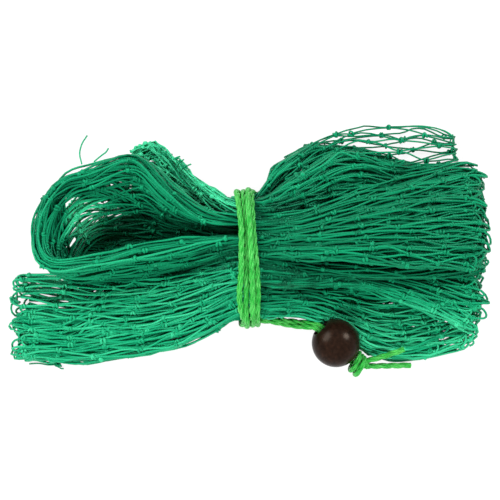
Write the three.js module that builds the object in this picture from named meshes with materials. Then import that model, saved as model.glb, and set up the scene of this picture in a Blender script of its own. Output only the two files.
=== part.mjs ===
// Mesh fish storage bag: a knotted net folded back and forth, tied round the middle with its own
// drawcord. The cord's tail holds a wooden bead, a stopper knot and two free ends.
// Millimetres, +Z up. The tie stands at x = 0, and the net runs left and right of it along X.
import * as THREE from "three";
import { mergeVertices } from "three/addons/utils/BufferGeometryUtils.js";

// ---------------------------------------------------------------- driving dimensions
const CORD_D = 2.3; // drawcord
const BEAD_D = 18;
const BEAD_BORE_D = 6;
const KNOT_D = 7.8;
const GAP = 0.3; // between pieces that touch

// The tie: the net's passes stand side by side on edge.
const PASS_PITCH = 7.5;
const FIRST_PASS_Y = 11.9;
const TIE_HALF_LENGTH = 7; // the stretch that the cord holds, each side of x = 0
const TIE_Z = 15.2;
const TIE_HALF_HEIGHTS = [5, 8.2, 9.8, 9.8, 8.2, 5];

// Sections of each pass away from the tie, in order along the net. Each row holds the x, y and z of
// the edge that is the lower one at the tie, those of the upper one, the crown between them and the
// thickness of the pass, which holds several layers of net. A fold's row holds how far its bend
// reaches past the sections before and after it, at the lower and at the upper edge.
const TIE_THICKNESS = 6.4;
const RIBBON = [
  // pass 1, from the gathered free edge on the left
  { pass: 0, side: -1, sections: [
    [-45, 26, 1.9, -45, 35.5, 6.5, 1, 4],
    [-36, 23, 2.1, -37, 37, 9, 1.5, 5],
    [-24, 17.5, 2.6, -25, 27, 15.5, 1, 5],
    [-15, 14.5, 4.5, -15, 18.5, 20, 0, 5.4],
  ] },
  { pass: 0, side: 1, sections: [
    [13, 14.5, 3.6, 12, 27, 17, 0, 5.4],
    [25, 17.5, 1.8, 24, 37, 9.5, 0, 4],
    [42, 19, 1.2, 42, 42.5, 2.5, 0.5, 3],
    [58, 20, 1.1, 60, 43, 1.1, 0, 2.6],
    [70, 22, 1.1, 71, 40, 1.1, 0, 2.6],
  ] },
  { fold: "upper right flap", reach: [5, 6] },
  { pass: 1, side: 1, sections: [
    [70, 20.5, 6, 71, 39.5, 7, 1, 2.6],
    [58, 16, 5.5, 60, 41, 7.5, 1.5, 3],
    [42, 12, 4.8, 42, 37.5, 11, 1.5, 3.6],
    [25, 9, 3.4, 24, 24, 19, 0, 4.8],
    [13, 6, 4, 12, 7.5, 24.5, 0, 5.4],
  ] },
  { pass: 1, side: -1, sections: [
    [-16, 5, 3.6, -17, 7.5, 28, 0, 5.6],
    [-28, 4.8, 3, -29, 15, 29.5, 0, 6],
    [-38, 4.5, 2.8, -43, 25.5, 29.5, 0, 6.2],
    [-50, 4.5, 2.8, -62, 24.5, 29, 0, 6.4],
  ] },
  { fold: "open loop", reach: [9, 14] },
  { pass: 2, side: -1, sections: [
    [-60, -9, 6.5, -69, -11, 26.5, 1, 6.2],
    [-50, -9.5, 6.5, -56, -9.5, 28, 1, 5.8],
    [-38, -8.5, 6.5, -41, -5.5, 29.5, 1, 5.6],
    [-24, -5.5, 5, -24, -2.8, 28.5, 0, 5.6],
  ] },
  { pass: 2, side: 1, sections: [
    [20, 1, 8, 20, -6, 28.5, 1, 5.6],
    [38, 10.5, 11.5, 38, -9.5, 28, 3, 5.4],
    [58, 19.5, 12, 58, -11.5, 26, 5, 5.2],
    [80, 26, 11, 82, -12, 21.5, 5, 4],
  ] },
  { fold: "main fan", reach: [4.5, 4.5] },
  { pass: 3, side: 1, sections: [
    [80, 17, 5.5, 82, -12.5, 16, 4, 3.8],
    [58, 10.5, 6, 58, -14, 20, 3.5, 4.6],
    [38, 4, 5.5, 38, -14.5, 22.5, 2, 4.8],
    [20, -6, 3.6, 20, -13.5, 25, 0, 5.2],
  ] },
  { pass: 3, side: -1, sections: [
    [-16, -10.5, 4.5, -15, -14.5, 26.5, 0, 5.2],
    [-24, -13.5, 6, -23, -28.5, 17.5, 1, 4.6],
    [-40, -15.5, 6.2, -40, -39.5, 9, 2, 4],
    [-60, -15, 6.2, -60, -43, 7.2, 2, 3.4],
    [-84, -14, 5.8, -77, -42.5, 6.4, 1.5, 2.8],
  ] },
  { fold: "lower left flap", reach: [4.5, 5] },
  { pass: 4, side: -1, sections: [
    [-84, -14, 1.1, -77, -43, 1.1, 0, 2.6],
    [-60, -15.5, 1.2, -60, -44, 1.2, 0, 2.8],
    [-40, -17, 1.4, -40, -41, 2.2, 0, 3.4],
    [-25, -17.5, 2.2, -25, -35.5, 8, 0, 4.4],
    [-16, -17, 4, -15, -24.5, 20, 0, 5],
  ] },
  { pass: 4, side: 1, sections: [
    [20, -14.5, 4, 20, -19.5, 22.5, 0, 5.2],
    [38, -4, 2.4, 38, -20, 17.5, 2, 4.6],
    [58, 1, 3.8, 58, -25.5, 14, 3, 4.4],
    [80, -1, 5, 79, -35, 9.5, 3, 4],
  ] },
  { fold: "lower right flap", reach: [5, 5] },
  { pass: 5, side: 1, sections: [
    [80, -9, 1.5, 77, -39, 1.5, 0, 3.4],
    [60, -11, 1.5, 60, -41.4, 1.5, 0, 3.4],
    [45, -15, 1.6, 46, -36.6, 2.2, 0, 3.6],
    [34, -18, 2.2, 34, -27, 5.5, 0, 4.4],
    [20, -22.5, 4.2, 20, -26, 12, 0, 5.2],
  ] },
  // the last pass ends just past the tie, under the layers there
  { pass: 5, side: -1, sections: [
    [-12, -25.8, 4.6, -12, -30.5, 8.5, 0, 5],
  ] },
];

// The turns of the tie, side by side. Each leans a little, so it stands further left at the back.
const TURN_XS = [-3.9, -1.3, 1.3, 3.9];
const TURN_LEAN = -0.9;
const TURN_HALF_WIDTH = 25;
const TURN_HALF_HEIGHT = 13.75;
const TURN_SQUARENESS = 2.9;

// The tail: where the bead, the knot and the two free ends lie.
const BEAD_AT = new THREE.Vector3(32, -38.3, BEAD_D / 2);
const BORE_AXIS = new THREE.Vector3(0.61, -0.7, -0.36).normalize();
const TAIL_PITCH = CORD_D + 0.35;
const TAIL_ROUTE = [
  // x, y, z of the midline between the two strands, from the tie to the bead
  [6.15, -29.4, 6.4],
  [12.5, -31, 5.2],
  [19, -31.6, 7.8],
];
const FREE_END_ROUTES = {
  free_end_a: [[43.4, -45.9, 5.6], [50, -43.8, 6.4], [58.5, -40.2, 6.6]],
  free_end_b: [[43.9, -47.9, 3.4], [51, -47.3, 1.7], [61, -46.4, 1.4]],
};

// ---------------------------------------------------------------- helpers
function solidFromRings(rings) {
  // Skins equal rings of points, and closes the two ends with fans.
  const positions = [];
  const size = rings[0].length;
  const faces = [];
  rings.flat().forEach((point) => positions.push(point.x, point.y, point.z));
  for (let i = 0; i + 1 < rings.length; i += 1) {
    for (let j = 0; j < size; j += 1) {
      const k = (j + 1) % size;
      const [a, b, c, d] = [i * size + j, i * size + k, (i + 1) * size + k, (i + 1) * size + j];
      faces.push(a, b, c, a, c, d);
    }
  }
  for (const [index, turned] of [[0, true], [rings.length - 1, false]]) {
    const centre = new THREE.Vector3();
    rings[index].forEach((point) => centre.addScaledVector(point, 1 / size));
    const hub = positions.length / 3;
    positions.push(centre.x, centre.y, centre.z);
    for (let j = 0; j < size; j += 1) {
      const [a, b] = [index * size + j, index * size + ((j + 1) % size)];
      faces.push(...(turned ? [hub, b, a] : [hub, a, b]));
    }
  }
  const geometry = new THREE.BufferGeometry();
  geometry.setAttribute("position", new THREE.Float32BufferAttribute(positions, 3));
  geometry.setIndex(faces);
  geometry.computeVertexNormals();
  return geometry;
}

function tubeAlong(points, diameter, { closed = false, steps = 24, sides = 8 } = {}) {
  const curve = new THREE.CatmullRomCurve3(points, closed, "centripetal");
  const shape = new THREE.Shape();
  for (let i = 0; i < sides; i += 1) {
    const angle = (2 * Math.PI * (i + 0.5)) / sides;
    const [x, y] = [(diameter / 2) * Math.cos(angle), (diameter / 2) * Math.sin(angle)];
    if (i === 0) {
      shape.moveTo(x, y);
    } else {
      shape.lineTo(x, y);
    }
  }
  const tube = new THREE.ExtrudeGeometry(shape, { steps, extrudePath: curve, bevelEnabled: false });
  tube.deleteAttribute("uv");
  tube.deleteAttribute("normal");
  const whole = mergeVertices(tube, 1e-3);
  whole.computeVertexNormals();
  return whole;
}

const finish = {
  net: new THREE.MeshStandardMaterial({ color: 0x178a5a, roughness: 0.55, metalness: 0 }),
  cord: new THREE.MeshStandardMaterial({ color: 0x4fcf5a, roughness: 0.5, metalness: 0 }),
  wood: new THREE.MeshStandardMaterial({ color: 0x2f1a12, roughness: 0.3, metalness: 0 }),
};

function named(name, geometry, material) {
  const mesh = new THREE.Mesh(geometry, material.clone());
  mesh.name = name;
  return mesh;
}

// ---------------------------------------------------------------- the folded net
const ACROSS = 6; // steps over the width of a pass
const STEPS_PER_SECTION = 2;
const FOLD_ANGLES = [30, 60, 90, 120, 150];

function tieSection(pass, x) {
  const y = FIRST_PASS_Y - pass * PASS_PITCH;
  const half = TIE_HALF_HEIGHTS[pass];
  return {
    low: new THREE.Vector3(x, y, TIE_Z - half),
    high: new THREE.Vector3(x, y, TIE_Z + half),
    crown: 0,
    thickness: TIE_THICKNESS,
  };
}

function bendSection(before, after, reach, angle) {
  // A point of a half ellipse from one section to the next, bulging away from the tie.
  const edge = (from, to, out) => {
    const middle = from.clone().add(to).multiplyScalar(0.5);
    const arm = from.clone().sub(middle);
    const outward = new THREE.Vector3(Math.sign(middle.x) * out, 0, 0);
    return middle.addScaledVector(arm, Math.cos(angle)).addScaledVector(outward, Math.sin(angle));
  };
  const part = angle / Math.PI;
  return {
    low: edge(before.low, after.low, reach[0]),
    high: edge(before.high, after.high, reach[1]),
    crown: before.crown * (1 - part) + after.crown * part,
    thickness: before.thickness * (1 - part) + after.thickness * part,
  };
}

function ribbonSections() {
  const sections = [];
  let bend = null;
  for (const entry of RIBBON) {
    if (entry.fold) {
      bend = entry;
      continue;
    }
    const read = entry.sections.map(([xl, yl, zl, xh, yh, zh, crown, thickness]) => ({
      low: new THREE.Vector3(xl, yl, zl),
      high: new THREE.Vector3(xh, yh, zh),
      crown,
      thickness,
    }));
    if (bend) {
      const before = sections[sections.length - 1];
      for (const degrees of FOLD_ANGLES) {
        sections.push(bendSection(before, read[0], bend.reach, (degrees * Math.PI) / 180));
      }
      bend = null;
    }
    const atTie = tieSection(entry.pass, entry.side * TIE_HALF_LENGTH);
    // Passes run left to right and back in turn.
    const towardsTie = (entry.side < 0) === (entry.pass % 2 === 0);
    sections.push(...(towardsTie ? [...read, atTie] : [atTie, ...read]));
  }
  return sections;
}

function smoothed(sections) {
  const low = new THREE.CatmullRomCurve3(sections.map((s) => s.low), false, "centripetal");
  const high = new THREE.CatmullRomCurve3(sections.map((s) => s.high), false, "centripetal");
  const count = (sections.length - 1) * STEPS_PER_SECTION;
  return Array.from({ length: count + 1 }, (_, i) => {
    const at = i / count;
    const place = at * (sections.length - 1);
    const before = sections[Math.floor(place)];
    const after = sections[Math.min(Math.floor(place) + 1, sections.length - 1)];
    const part = place - Math.floor(place);
    return {
      low: low.getPoint(at),
      high: high.getPoint(at),
      crown: before.crown * (1 - part) + after.crown * part,
      thickness: before.thickness * (1 - part) + after.thickness * part,
    };
  });
}

function midSurface(sections) {
  return sections.map(({ low, high, crown }) =>
    Array.from({ length: ACROSS + 1 }, (_, j) => {
      const w = j / ACROSS;
      const point = low.clone().lerp(high, w);
      point.z += crown * 4 * w * (1 - w);
      return point;
    }));
}

function foldedNet() {
  const sections = smoothed(ribbonSections());
  const rows = midSurface(sections);
  const rings = rows.map((row, i) => {
    const thick = sections[i].thickness / 2;
    const [behind, ahead] = [rows[Math.max(i - 1, 0)], rows[Math.min(i + 1, rows.length - 1)]];
    const top = [];
    const bottom = [];
    row.forEach((point, j) => {
      const along = ahead[j].clone().sub(behind[j]);
      const across = row[Math.min(j + 1, ACROSS)].clone().sub(row[Math.max(j - 1, 0)]);
      const half = thick * (j % ACROSS === 0 ? 0.6 : 1);
      const out = along.cross(across).normalize().multiplyScalar(half);
      top.push(point.clone().add(out));
      bottom.push(point.clone().sub(out));
    });
    const edge = (inner, outer) => outer.clone().add(outer.clone().sub(inner).setLength(thick * 0.7));
    const lowEdge = edge(row[1], row[0]);
    const highEdge = edge(row[ACROSS - 1], row[ACROSS]);
    const ring = [lowEdge, ...bottom, highEdge, ...top.reverse()];
    // What lies on the table is flat there.
    ring.forEach((point) => { point.z = Math.max(point.z, 0); });
    return ring;
  });
  return solidFromRings(rings);
}

// ---------------------------------------------------------------- the drawcord
function turnOfTie(x) {
  // One closed turn round the net: a rounded oblong, leaning left at the back.
  const steps = 40;
  const power = 2 / TURN_SQUARENESS;
  const rounded = (value) => Math.sign(value) * Math.abs(value) ** power;
  const centreY = FIRST_PASS_Y - 2.5 * PASS_PITCH;
  const points = Array.from({ length: steps }, (_, i) => {
    const angle = (2 * Math.PI * i) / steps;
    const [c, s] = [rounded(Math.cos(angle)), rounded(Math.sin(angle))];
    return new THREE.Vector3(
      x + TURN_LEAN * c,
      centreY + TURN_HALF_WIDTH * c,
      TIE_Z + TURN_HALF_HEIGHT * s,
    );
  });
  const sides = 8;
  const rings = points.map((point, i) => {
    const along = points[(i + 1) % steps].clone().sub(points[(i + steps - 1) % steps]).normalize();
    const aside = new THREE.Vector3(1, 0, 0).addScaledVector(along, -along.x).normalize();
    const outward = aside.clone().cross(along);
    return Array.from({ length: sides }, (_, j) => {
      const turn = (-2 * Math.PI * (j + 0.5)) / sides;
      return point.clone()
        .addScaledVector(aside, (CORD_D / 2) * Math.cos(turn))
        .addScaledVector(outward, (CORD_D / 2) * Math.sin(turn));
    });
  });
  return closedTube(rings);
}

function closedTube(rings) {
  const size = rings[0].length;
  const positions = [];
  const faces = [];
  rings.flat().forEach((point) => positions.push(point.x, point.y, point.z));
  for (let i = 0; i < rings.length; i += 1) {
    const next = (i + 1) % rings.length;
    for (let j = 0; j < size; j += 1) {
      const k = (j + 1) % size;
      const [a, b, c, d] = [i * size + j, i * size + k, next * size + k, next * size + j];
      faces.push(a, b, c, a, c, d);
    }
  }
  const geometry = new THREE.BufferGeometry();
  geometry.setAttribute("position", new THREE.Float32BufferAttribute(positions, 3));
  geometry.setIndex(faces);
  geometry.computeVertexNormals();
  return geometry;
}

const knotAt = BEAD_AT.clone().addScaledVector(BORE_AXIS, BEAD_D / 2 + KNOT_D / 2 + 0.2);

function tailStrand(side) {
  // One of the two strands from the tie, through the bead's bore, to the knot.
  const onBore = (distance) => BEAD_AT.clone().addScaledVector(BORE_AXIS, distance);
  const alongBore = [-BEAD_D / 2 - 1, -BEAD_D / 4, BEAD_D / 4, BEAD_D / 2 - GAP].map(onBore);
  const route = [...TAIL_ROUTE.map((at) => new THREE.Vector3(...at)), ...alongBore];
  const midline = new THREE.CatmullRomCurve3(route, false, "centripetal");
  const up = new THREE.Vector3(0, 0, 1);
  const steps = 12;
  const points = Array.from({ length: steps + 1 }, (_, i) => {
    const apart = up.clone().cross(midline.getTangentAt(i / steps)).normalize();
    return midline.getPointAt(i / steps).addScaledVector(apart, (side * TAIL_PITCH) / 2);
  });
  return tubeAlong(points, CORD_D, { steps: 18 });
}

function drilledBead() {
  const [outer, bore] = [BEAD_D / 2, BEAD_BORE_D / 2];
  const start = Math.asin(bore / outer);
  const arc = 20;
  const profile = [];
  for (let i = 0; i <= arc; i += 1) {
    const angle = start + ((Math.PI - 2 * start) * i) / arc;
    profile.push(new THREE.Vector2(outer * Math.sin(angle), -outer * Math.cos(angle)));
  }
  profile.push(profile[0].clone());
  const lathe = new THREE.LatheGeometry(profile, 36);
  lathe.deleteAttribute("uv");
  lathe.deleteAttribute("normal");
  const bead = mergeVertices(lathe, 1e-3);
  bead.computeVertexNormals();
  return bead;
}

function lumpyKnot() {
  // A stopper knot: a ball with the ridges of its turns, wound at a slant.
  const ball = new THREE.SphereGeometry(KNOT_D / 2, 24, 14);
  ball.deleteAttribute("uv");
  ball.deleteAttribute("normal");
  const knot = mergeVertices(ball, 1e-3);
  const place = knot.getAttribute("position");
  const point = new THREE.Vector3();
  for (let i = 0; i < place.count; i += 1) {
    point.fromBufferAttribute(place, i);
    const slant = point.y + 0.5 * point.x;
    point.multiplyScalar(0.96 + 0.04 * Math.cos((2 * Math.PI * slant) / CORD_D));
    place.setXYZ(i, point.x, point.y, point.z);
  }
  knot.computeVertexNormals();
  return knot;
}

// ---------------------------------------------------------------- assembly
const bundle = new THREE.Group();
bundle.add(named("net_bag", foldedNet(), finish.net));
TURN_XS.forEach((x, i) => {
  bundle.add(named(`cord_turn_${i + 1}`, turnOfTie(x), finish.cord));
});

// The origin is the middle of the footprint of the net and its tie, on the table.
bundle.updateMatrixWorld(true);
const footprint = new THREE.Box3().setFromObject(bundle, true);
const middle = footprint.getCenter(new THREE.Vector3());

bundle.add(named("cord_tail_a", tailStrand(1), finish.cord));
bundle.add(named("cord_tail_b", tailStrand(-1), finish.cord));

const bead = named("bead", drilledBead(), finish.wood);
bead.position.copy(BEAD_AT);
bead.quaternion.setFromUnitVectors(new THREE.Vector3(0, 1, 0), BORE_AXIS);
bundle.add(bead);

const knot = named("knot", lumpyKnot(), finish.cord);
knot.position.copy(knotAt);
bundle.add(knot);

for (const [name, route] of Object.entries(FREE_END_ROUTES)) {
  const points = route.map((at) => new THREE.Vector3(...at));
  bundle.add(named(name, tubeAlong(points, CORD_D, { steps: 8 }), finish.cord));
}

bundle.position.set(-middle.x, -middle.y, 0);

const bag = new THREE.Group();
bag.add(bundle);
export default bag;
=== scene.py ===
# %% [markdown]
# # A mesh fish storage bag, folded and tied
# The bag is a long tube of knotted green net. It is folded back and forth into a bundle about a hand long.
# Its own drawcord, laid double, goes twice round the middle. The cord's tail runs through a wooden bead and
# ends in a stopper knot with two free ends. This lesson builds the net strand by strand along the folds, lays
# real three-strand cord round it, and turns the bead.

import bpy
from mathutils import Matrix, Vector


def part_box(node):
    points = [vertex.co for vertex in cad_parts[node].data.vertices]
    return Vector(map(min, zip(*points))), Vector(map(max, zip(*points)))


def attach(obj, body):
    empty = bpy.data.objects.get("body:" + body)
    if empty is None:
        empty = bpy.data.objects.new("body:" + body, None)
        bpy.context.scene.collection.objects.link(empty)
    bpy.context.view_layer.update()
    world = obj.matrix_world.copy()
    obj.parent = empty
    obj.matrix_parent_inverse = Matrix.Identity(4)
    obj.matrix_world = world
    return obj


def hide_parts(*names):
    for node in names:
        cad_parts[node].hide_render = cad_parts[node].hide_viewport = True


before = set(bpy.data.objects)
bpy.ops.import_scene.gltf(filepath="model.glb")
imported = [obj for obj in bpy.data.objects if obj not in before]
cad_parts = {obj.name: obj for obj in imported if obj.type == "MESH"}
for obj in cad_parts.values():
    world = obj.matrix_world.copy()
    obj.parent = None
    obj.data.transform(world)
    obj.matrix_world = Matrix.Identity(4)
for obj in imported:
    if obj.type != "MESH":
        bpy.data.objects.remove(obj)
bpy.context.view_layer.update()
print("frame holds", len(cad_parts), "pieces")

# %% Tools that the lesson needs
import math

import bpy
import numpy as np
from mathutils import Vector

MM = 0.001


def step(s, start, stop):
    """0 before start, 1 after stop, and smooth between."""
    share = np.clip((s - start) / (stop - start), 0, 1)
    return share * share * (3 - 2 * share)


def length_of(path):
    """How long a line of points is."""
    return float(np.linalg.norm(np.diff(np.asarray(path), axis=0), axis=1).sum())


def new_object(name, data):
    """Put a mesh, a lamp or a camera into the scene."""
    made = bpy.data.objects.new(name, data)
    bpy.context.collection.objects.link(made)
    return made


print("lengths below are in steps of", MM, "m")

# %% [markdown]
# ## Where things are
# All sizes below are in millimetres, measured from the middle of the tie, because that is how the bundle
# is folded: everything starts at the cord and runs out to a fold. The frame's own zero is the middle of the
# whole footprint. The four turns of the tie say where the tie stands in the frame, and a small helper moves
# points over.

# %% From the tie to the frame
TIE_MIDDLE_Y = -6.85
turn_boxes = [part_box(f"cord_turn_{number}") for number in (1, 2, 3, 4)]
tie_x = sum((low.x + high.x) / 2 for low, high in turn_boxes) / 4
tie_y = (turn_boxes[0][0].y + turn_boxes[0][1].y) / 2
TIE = np.array([tie_x, tie_y - TIE_MIDDLE_Y * MM, 0.0])


def in_frame(points):
    """Millimetres from the tie become metres in the frame."""
    return np.asarray(points, float) * MM + TIE


print("the tie stands at", np.round(TIE / MM, 2), "mm")

# %% [markdown]
# ## The folds
# Each piece of the net leaves the tie, runs out to a fold and comes back beneath or beside itself. A row is
# a section across the piece: its low edge, its high edge, how much the middle stands up between them, and
# the thickness of all its sheets together. Under the cord the sheets are squeezed into one rounded
# bundle. Further out they fan, stand up in a loop, or fall over flat, as a heap of net does. A pass with a
# reach goes out, round a fold that reaches so far past its last row, and back. The others are one run.

# %% Folds at the far side
TIE_Z = 15.2

# columns: x, y, z of the low edge, x, y, z of the high edge, crown, thickness
FOLDS = {
    "gathered_edge": {
        "out": [
            (-45.5, 26, 1.9, -46, 36.8, 6.5, 1, 4),
            (-36, 23, 2.1, -37, 38.6, 9, 1.5, 5),
            (-24, 17.5, 2.6, -25, 26.4, 15.5, 1, 5),
            (-15, 15, 5, -15, 16.4, 20, 0, 5.2),
            (-7, 14, 8, -7, 9.8, 23, 0, 5),
            (0, 13, 9, 0, 9, 23.5, 0, 4.6),
        ],
    },
    "upper_right_flap": {
        "reach": (6, 6.5),
        "out": [
            (0, 13, 8, 0, 13, 19, 0, 4.4),
            (6, 14, 6, 6, 22, 18, 0, 4.8),
            (13, 15, 3.6, 12, 28.4, 16, 0, 5),
            (25, 17.5, 1.8, 24, 38, 9.5, 0, 4),
            (42, 19, 1.2, 42, 44, 2.5, 0.5, 3),
            (58, 20, 1.1, 60, 45.2, 1.1, 0, 2.6),
            (70, 22, 1.1, 72, 42.5, 1.1, 0, 2.6),
        ],
        "back": [
            (70, 20.5, 6, 72, 41.5, 7, 1, 2.6),
            (58, 16, 5.5, 60, 43.6, 7.5, 1.5, 3),
            (42, 12, 4.8, 42, 40.5, 11, 1.5, 3.6),
            (25, 9, 6, 24, 27, 18, 0, 4.6),
            (13, 7, 14, 12, 18.5, 21.5, 0.5, 4.6),
            (6, 6.5, 21, 6, 14, 22.5, 0.5, 4),
            (0, 6, 23, 0, 12.5, 22, 0, 3.6),
        ],
    },
    "open_meshes": {
        "reach": (2.4, 2.4),
        "out": [
            (13, 22, 12, 13, 32.6, 10, 0, 1.2),
            (25, 28, 6, 25, 41.0, 5, 0, 1.2),
            (39, 31, 4, 39, 44.2, 2.4, 0.5, 1.2),
            (58, 28.5, 3, 58, 45.6, 1.6, 0.5, 1.2),
            (68, 28.5, 2.6, 68, 47.8, 1.2, 0, 1.2),
            (77.2, 32, 2.2, 76.8, 44.0, 1.0, 0, 1.0),
        ],
        "back": [
            (77.2, 31.5, 5.5, 76.8, 43.4, 4.5, 1, 1.0),
            (68, 27.5, 7, 68, 46.8, 5, 1, 1.2),
            (58, 27.5, 8.5, 58, 46.0, 7, 1.5, 1.2),
            (39, 30, 11, 39, 44.8, 8.5, 1.5, 1.2),
            (25, 26, 16, 25, 38.4, 11, 0, 1.2),
            (13, 18, 20, 13, 29.4, 16, 0, 1.2),
        ],
    },
}
print(len(FOLDS), "passes at the far side")

# %% Folds in the middle
FOLDS.update({
    "open_loop": {
        "reach": (8, 11.7),
        "out": [
            (0, 4, 7, 0, 6, 24, 0, 4.4),
            (-7, 4.2, 6, -7, 6, 25.5, 0, 5),
            (-16, 5, 3.6, -17, 7.5, 28, 0, 5.6),
            (-28, 4.8, 3, -29, 16.2, 29.5, 0, 6),
            (-38, 4.5, 2.8, -42.6, 29.8, 29.5, 0, 6.2),
            (-50, 4.5, 2.8, -62.2, 23.8, 29.4, 0, 6.2),
        ],
        "back": [
            (-64, -13.8, 5.5, -71, -11.2, 26, 1, 5.6),
            (-52, -13.3, 6.5, -58, -9.8, 27.8, 1, 5.6),
            (-38, -12.8, 7.6, -41, -5.5, 29.5, 1, 5.6),
            (-24, -11.5, 10, -24, -2.8, 28.5, 0, 5.2),
            (-13, -10.5, 17, -13, -1.6, 27.2, 0.5, 4.6),
            (-7, -9.5, 21, -7, -1, 26.4, 0.5, 4.2),
            (0, -9, 22, 0, -1, 26, 0, 3.8),
        ],
    },
    "main_fan": {
        "reach": (6, 5.5),
        "out": [
            (0, 6.5, 23, 0, -7.5, 25.3, 0.5, 3.4),
            (7, 7, 22.5, 7, -8.5, 26, 0.5, 3.8),
            (20, 9, 18, 20, -9.5, 27.6, 1.5, 4.6),
            (38, 16, 13, 38, -10.5, 28, 3, 5.2),
            (58, 22.5, 11.5, 58, -12, 26, 5, 5.2),
            (82.6, 29.6, 9.5, 80.6, -12.5, 21.5, 5, 4),
        ],
        "back": [
            (82, 19, 4.5, 80.4, -13.5, 16, 4, 3.8),
            (58, 11, 5.5, 58, -15, 20, 3.5, 4.6),
            (38, 6, 6, 38, -15, 22, 2, 4.8),
            (20, 2, 7, 20, -13.5, 22.5, 0, 5),
            (7, 1.5, 9, 7, -11, 21, 0, 4.6),
            (0, 1, 10, 0, -10, 21, 0, 4.2),
        ],
    },
})

# %% Folds at the near side
FOLDS.update({
    "lower_left_flap": {
        "reach": (6.5, 7.5),
        "out": [
            (0, -9.5, 23, 0, -27, 19, 1.5, 3.6),
            (-7, -10.5, 21.5, -7, -29.6, 17.5, 1.5, 4),
            (-16, -12, 17, -16, -34.2, 14.5, 1.5, 4.4),
            (-26, -13, 11.5, -26, -38.4, 11.2, 1.5, 4.4),
            (-40, -14, 8, -40, -41.6, 8.8, 2, 4),
            (-60, -13.4, 6.4, -60, -43.8, 7.2, 2, 3.4),
            (-84.6, -11.0, 5.8, -80.2, -43.2, 6.4, 1.5, 2.8),
        ],
        "back": [
            (-84.4, -12, 1.1, -80.2, -43.2, 1.1, 0, 2.6),
            (-60, -15, 1.2, -60, -44.4, 1.2, 0, 2.8),
            (-40, -16.5, 1.4, -40, -41.6, 2.2, 0, 3.4),
            (-26, -17, 2.2, -26, -38.4, 5, 0, 4),
            (-15, -17, 4, -15, -34, 8, 0, 4.4),
            (-7, -16, 6, -7, -30.6, 10, 0, 4.4),
            (0, -15.5, 7, 0, -28.6, 10.5, 0, 4.2),
        ],
    },
    "lower_right_flap": {
        "reach": (7.5, 5.2),
        "out": [
            (0, -9, 24, 0, -18, 23.5, 0.5, 3.4),
            (7, -10, 24, 7, -18.5, 23, 0.5, 3.8),
            (20, -11.5, 20.5, 20, -18.5, 21.5, 0.5, 4.6),
            (38, -7, 12, 38, -18, 18.5, 2, 4.6),
            (58, -2, 6, 58, -24, 14.5, 3, 4.4),
            (82.2, -1.5, 5, 81.2, -33, 9.5, 3, 4),
        ],
        "back": [
            (80, -9, 1.5, 77.5, -39.6, 1.5, 0, 3.4),
            (60, -11, 1.7, 60, -43.6, 1.6, 0, 3.4),
            (46, -13, 4, 46, -41.8, 2.4, 0, 3.8),
            (34, -14, 9, 34, -34.4, 5.4, 0, 4.4),
            (20, -15, 16, 20, -28.6, 11, 0, 4.6),
            (7, -15, 20.5, 7, -28.8, 13, 0, 4.4),
            (0, -14.5, 21, 0, -28, 13.5, 0, 4),
        ],
    },
})

# %% Loose runs beneath and between
FOLDS.update({
    "loop_floor": {
        "out": [
            (-12, -11, 7, -12, 5, 6, 0, 2),
            (-24, -12, 4, -24, 6, 4, 0, 2.4),
            (-38, -13, 2.6, -38, 10, 3, 0, 2.4),
            (-52, -13, 1.8, -50, 9, 2.2, 0, 2),
            (-66, -12, 1.6, -67, 8, 1.8, 0, 1.6),
        ],
    },
    "last_end": {
        "out": [
            (0, -21, 5.5, 0, -27, 8, 0, 4),
            (-8, -22, 4, -8, -29.5, 7, 0, 4.4),
            (-16, -22, 3, -17, -31.5, 5.5, 0, 4),
        ],
    },
    "slack_right": {
        "out": [
            (0, -28, 5, 0, 13, 5, 0, 2),
            (10, -26, 4.6, 10, 14, 4.6, 0, 2),
            (22, -25, 3, 22, 19, 3, 0, 2.4),
            (40, -35, 2, 40, 27, 2.4, 0, 2.4),
            (60, -41, 1.8, 60, 26, 2, 0, 2.2),
            (78, -38, 1.6, 80, 20, 1.8, 0, 2),
        ],
    },
    "slack_left": {
        "out": [
            (0, -28, 5, 0, 13, 5, 0, 2),
            (-10, -27, 4.6, -10, 14, 4.6, 0, 2),
            (-22, -31, 3, -22, 16, 3, 0, 2.4),
            (-38, -36, 2.2, -38, 20, 2.4, 0, 2.4),
            (-52, -39, 2, -52, 17, 2.2, 0, 2.2),
            (-72, -40, 1.8, -64, 8, 2, 0, 2),
        ],
    },
})
print(len(FOLDS), "passes in all")

# %% [markdown]
# ## A smooth surface through the sections
# A strand of net follows its pass like a railway line follows the land, so the first thing to make is
# the land: a smooth surface through the sections of one piece. A Catmull-Rom curve goes through every
# section of an edge. The two edge curves and the crown between them give the middle of the pass, and its
# normal and thickness say where a layer above or below the middle lies.

# %% Sections of one piece
BEND_ANGLES = (30, 60, 90, 120, 150)


def bend_sections(before, after, reach):
    """A fold: half an ellipse from the last section of one run to the first of the next."""
    middle = (before + after) / 2
    arm = (before - after) / 2
    out = np.sign(middle[0]) * np.array([reach[0], 0, 0, reach[1], 0, 0, 0, 0])
    angles = np.radians(BEND_ANGLES)
    return [middle + arm * math.cos(angle) + out * math.sin(angle) for angle in angles]


def sections_of(fold):
    """All sections of a piece, out to its fold and back."""
    rows = [np.array(row, float) for row in fold["out"]]
    back = [np.array(row, float) for row in fold.get("back", ())]
    if back:
        rows += bend_sections(rows[-1], back[0], fold["reach"])
    return np.array(rows + back)


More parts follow.
